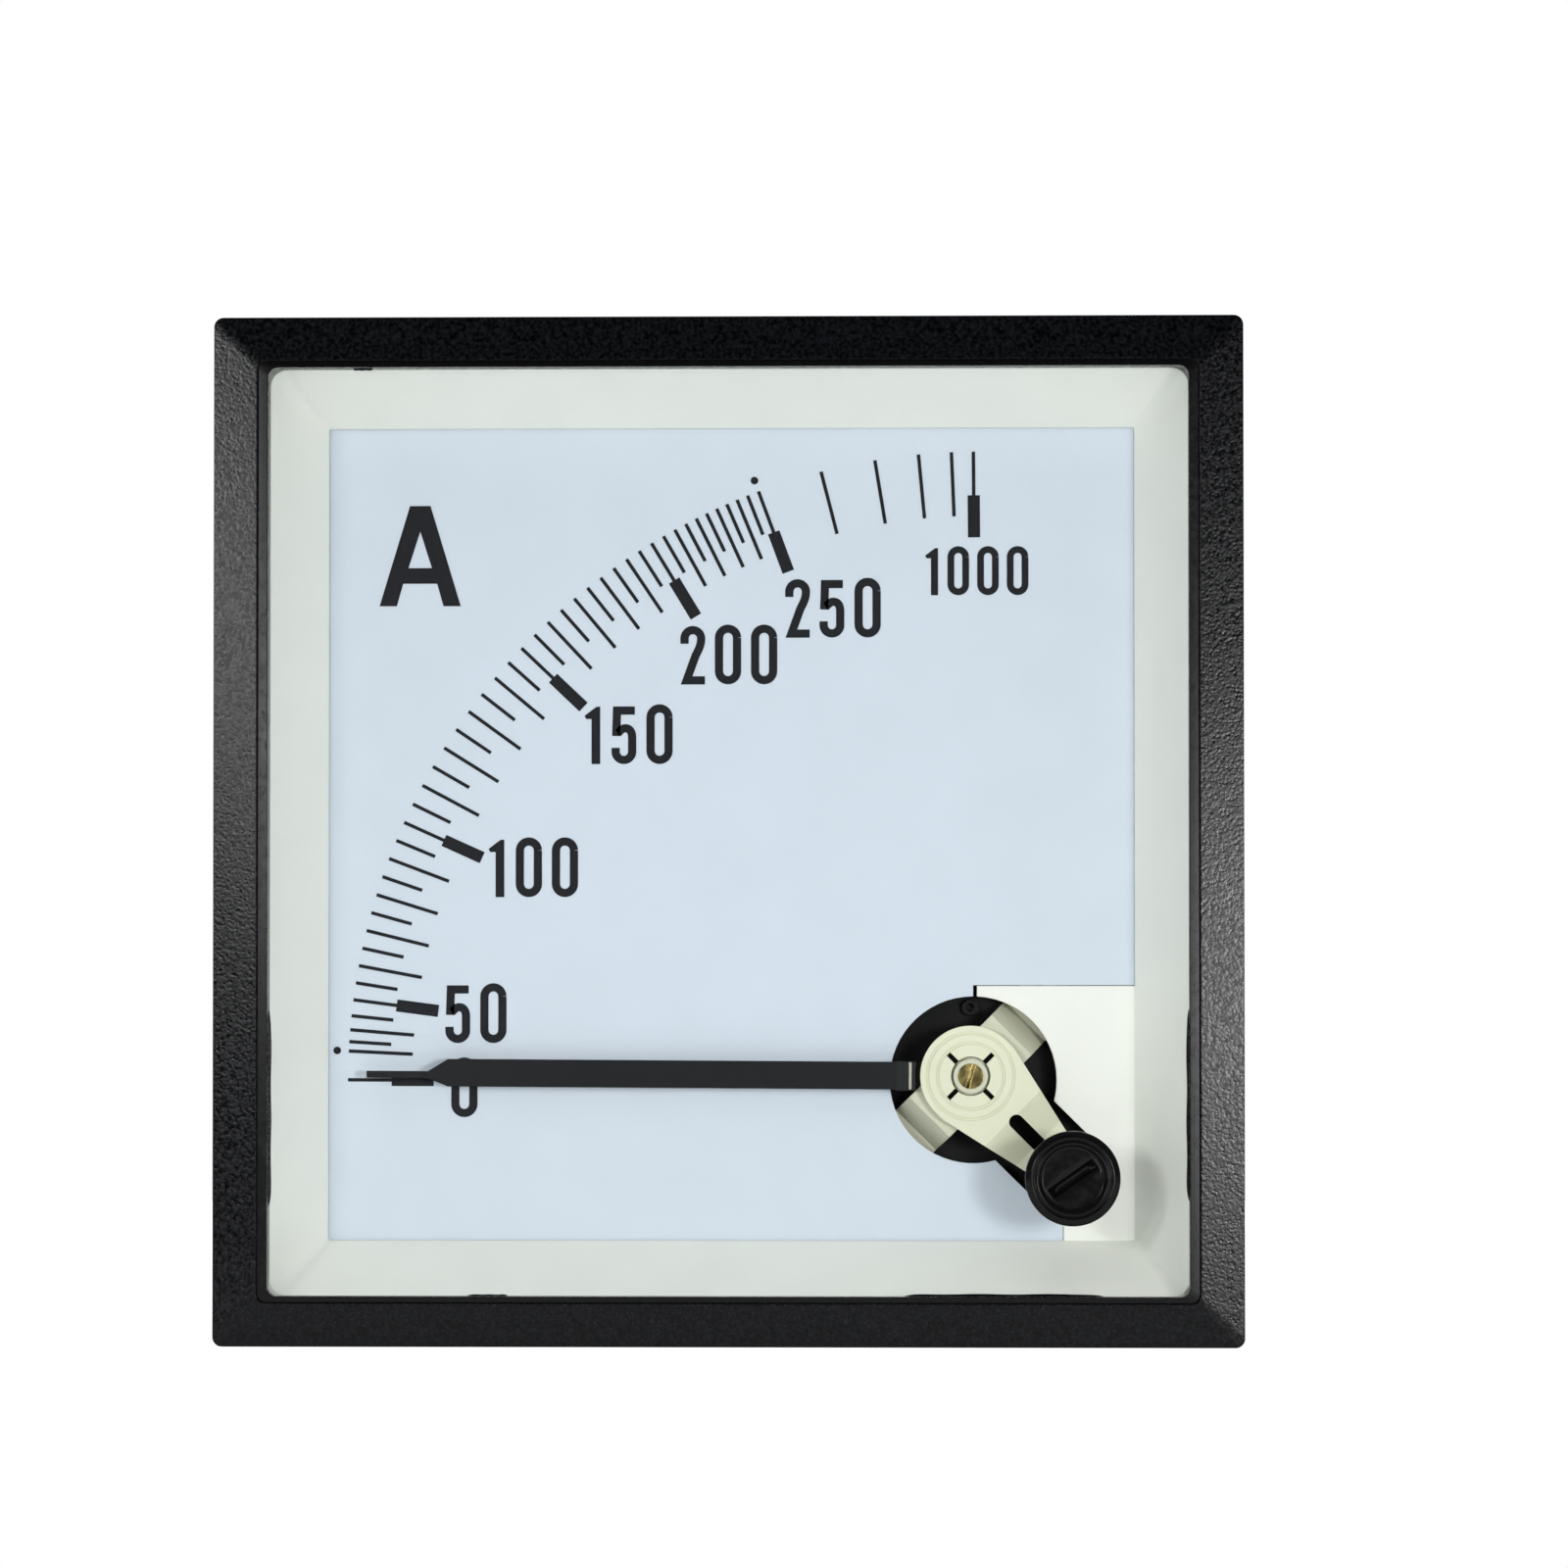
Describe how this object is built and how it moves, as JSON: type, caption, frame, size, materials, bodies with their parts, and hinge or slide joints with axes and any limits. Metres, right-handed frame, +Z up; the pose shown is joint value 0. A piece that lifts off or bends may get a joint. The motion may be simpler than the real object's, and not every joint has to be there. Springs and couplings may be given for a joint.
{
  "type": "analog panel meter",
  "caption": "Square moving-iron panel ammeter: black front frame, pale dial with a quarter-circle scale, pointer and zero lever in a keyhole opening, rear case with two stud terminals.",
  "frame": {"origin": "centre of the front frame's rear face, where it seats on the panel", "axes": "+X to the right seen from the front, -Y out of the front, +Z up; the case and terminals run along +Y"},
  "size_m": [0.096, 0.0627, 0.096],
  "materials": {
    "black_frame": "fine spark-eroded grain",
    "clear_pane": "clear polished",
    "black_case": "moulded satin",
    "cream_moulding": "smooth matt",
    "dial_paint": "flat paint",
    "black_ink": "screen print",
    "black_knob": "polished",
    "cream_lever": "smooth matt",
    "bronze_spring": "bright strip",
    "cream_bridge": "smooth matt",
    "yellow_brass": "turned",
    "bright_steel": "bright",
    "clip_metal": "dull stamped",
    "black_pointer": "matt paint",
    "white_moulding": "moulded",
    "copper_wire": "enamelled copper",
    "soft_iron": "annealed sheet",
    "bridge_metal": "stamped",
    "tinned_brass": "tinned",
    "plated_steel": "zinc plated"
  },
  "bodies": {
    "housing": {"bezel_frame": "black_frame", "window_glass": "clear_pane", "rear_case": "black_case", "reveal_mask": "cream_moulding", "dial_plate": "dial_paint", "scale_marks": "black_ink", "front_bridge": "cream_bridge", "front_jewel_screw": "yellow_brass", "rear_jewel_screw": "yellow_brass", "movement_frame": "black_case", "movement_screws": "bright_steel", "bridge_screws": "bright_steel", "rear_bridge_screws": "bright_steel", "coil_bobbin": "white_moulding", "coil_winding": "copper_wire", "coil_lead_left": "copper_wire", "coil_lead_right": "copper_wire", "fixed_iron": "soft_iron", "damper_cup": "clip_metal", "rear_bridge": "bridge_metal", "solder_tags": "tinned_brass", "terminal_studs": "yellow_brass", "terminal_washers": "plated_steel", "terminal_nuts": "plated_steel"},
    "adjuster": {"zero_adjuster": "black_knob"},
    "lever": {"zero_lever": "cream_lever", "hairspring": "bronze_spring"},
    "pointer": {"pointer_bar": "black_pointer", "pointer_clip": "clip_metal", "spindle": "bright_steel", "spring_collet": "yellow_brass", "moving_iron": "soft_iron", "balance_cross": "bright_steel", "balance_weights": "yellow_brass", "damper_disc": "clip_metal"}
  },
  "joints": [
    {"name": "adjuster_turn", "type": "hinge", "parent": "housing", "child": "adjuster", "pos_m": [0.03207, -0.003, -0.03233], "axis": [0, 1, 0], "range_deg": [-45, 45]},
    {"name": "lever_turn", "type": "hinge", "parent": "housing", "child": "lever", "pos_m": [0.02267, 0.0045, -0.02293], "axis": [0, 1, 0], "range_deg": [-2, 2]},
    {"name": "pointer_turn", "type": "hinge", "parent": "lever", "child": "pointer", "pos_m": [0.02267, 0.005, -0.02293], "axis": [0, 1, 0], "range_deg": [-1.5, 91.5], "stiffness_Nm_per_rad": 0.00004}
  ],
  "couplings": [
    {"joint": "lever_turn", "follows": "adjuster_turn", "ratio": -0.042}
  ]
}
